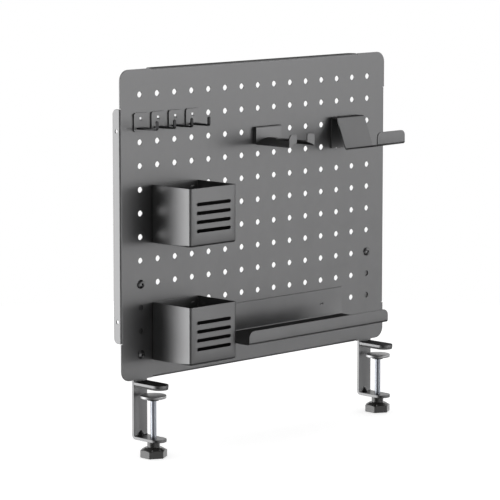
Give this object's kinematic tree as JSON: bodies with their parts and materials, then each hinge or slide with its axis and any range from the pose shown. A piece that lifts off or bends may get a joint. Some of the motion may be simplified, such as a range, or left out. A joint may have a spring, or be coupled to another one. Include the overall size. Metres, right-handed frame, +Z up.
{
  "type": "clamp-on desk pegboard",
  "caption": "Clamp-on desk pegboard: a folded steel panel on screw clamps, with lift-off hooks, headphone saddle, device rest, slotted cups and a long tray.",
  "frame": {"origin": "on the desk top under the upper jaws, midway between the two clamps, in the plane of the panel's front face", "axes": "+Z up, the panel's front faces -Y, +X to the right seen from the front"},
  "size_m": [0.413, 0.0845, 0.4154],
  "materials": {
    "coat": "fine matte powder coat",
    "bright_steel": "bright zinc plate",
    "black_steel": "black oxide",
    "black_plastic": "satin black",
    "grey_rubber": "matte"
  },
  "bodies": {
    "board": {"panel": "coat", "left_clamp_bracket": "coat", "right_clamp_bracket": "coat", "left_upper_jaw": "coat", "right_upper_jaw": "coat", "left_jaw_pad": "grey_rubber", "right_jaw_pad": "grey_rubber", "bracket_screws": "black_steel", "bracket_washers": "bright_steel", "bracket_nuts": "bright_steel"},
    "left_hub": {"left_swivel_hub": "black_steel"},
    "left_screw": {"left_spindle": "bright_steel", "left_knob": "black_plastic"},
    "left_pad": {"left_pressure_pad": "coat"},
    "right_hub": {"right_swivel_hub": "black_steel"},
    "right_screw": {"right_spindle": "bright_steel", "right_knob": "black_plastic"},
    "right_pad": {"right_pressure_pad": "coat"},
    "hook_1": {"hook_plate_1": "coat", "hook_arm_1": "coat"},
    "hook_2": {"hook_plate_2": "coat", "hook_arm_2": "coat"},
    "hook_3": {"hook_plate_3": "coat", "hook_arm_3": "coat"},
    "hook_4": {"hook_plate_4": "coat", "hook_arm_4": "coat"},
    "saddle": {"saddle_bracket": "coat", "saddle_arm": "coat"},
    "rest": {"device_rest": "coat"},
    "upper_cup": {"upper_cup": "coat"},
    "lower_cup": {"lower_cup": "coat"},
    "tray": {"tray": "coat"}
  },
  "joints": [
    {"name": "left_screw_travel", "type": "slide", "parent": "board", "child": "left_hub", "axis": [0, 0, 1], "range_m": [-0.04064, 0]},
    {"name": "left_knob_turn", "type": "hinge", "parent": "left_hub", "child": "left_screw", "pos_m": [-0.1778, -0.019, -0.06], "axis": [0, 0, 1], "range_deg": [-11520, 0]},
    {"name": "left_pad_tilt", "type": "hinge", "parent": "left_hub", "child": "left_pad", "pos_m": [-0.1778, -0.019, -0.00895], "axis": [1, 0, 0], "range_deg": [-4, 4]},
    {"name": "right_screw_travel", "type": "slide", "parent": "board", "child": "right_hub", "axis": [0, 0, 1], "range_m": [-0.04064, 0]},
    {"name": "right_knob_turn", "type": "hinge", "parent": "right_hub", "child": "right_screw", "pos_m": [0.1778, -0.019, -0.06], "axis": [0, 0, 1], "range_deg": [-11520, 0]},
    {"name": "right_pad_tilt", "type": "hinge", "parent": "right_hub", "child": "right_pad", "pos_m": [0.1778, -0.019, -0.00895], "axis": [1, 0, 0], "range_deg": [-4, 4]},
    {"name": "hook_1_lift", "type": "slide", "parent": "board", "child": "hook_1", "axis": [0, 0, 1], "range_m": [0, 0.0026]},
    {"name": "hook_2_lift", "type": "slide", "parent": "board", "child": "hook_2", "axis": [0, 0, 1], "range_m": [0, 0.0026]},
    {"name": "hook_3_lift", "type": "slide", "parent": "board", "child": "hook_3", "axis": [0, 0, 1], "range_m": [0, 0.0026]},
    {"name": "hook_4_lift", "type": "slide", "parent": "board", "child": "hook_4", "axis": [0, 0, 1], "range_m": [0, 0.0026]},
    {"name": "saddle_lift", "type": "slide", "parent": "board", "child": "saddle", "axis": [0, 0, 1], "range_m": [0, 0.0026]},
    {"name": "rest_lift", "type": "slide", "parent": "board", "child": "rest", "axis": [0, 0, 1], "range_m": [0, 0.0026]},
    {"name": "upper_cup_lift", "type": "slide", "parent": "board", "child": "upper_cup", "axis": [0, 0, 1], "range_m": [0, 0.0026]},
    {"name": "lower_cup_lift", "type": "slide", "parent": "board", "child": "lower_cup", "axis": [0, 0, 1], "range_m": [0, 0.0026]},
    {"name": "tray_lift", "type": "slide", "parent": "board", "child": "tray", "axis": [0, 0, 1], "range_m": [0, 0.0026]}
  ],
  "couplings": [
    {"joint": "left_knob_turn", "follows": "left_screw_travel", "rad_per_m": 4947.4},
    {"joint": "right_knob_turn", "follows": "right_screw_travel", "rad_per_m": 4947.4}
  ]
}
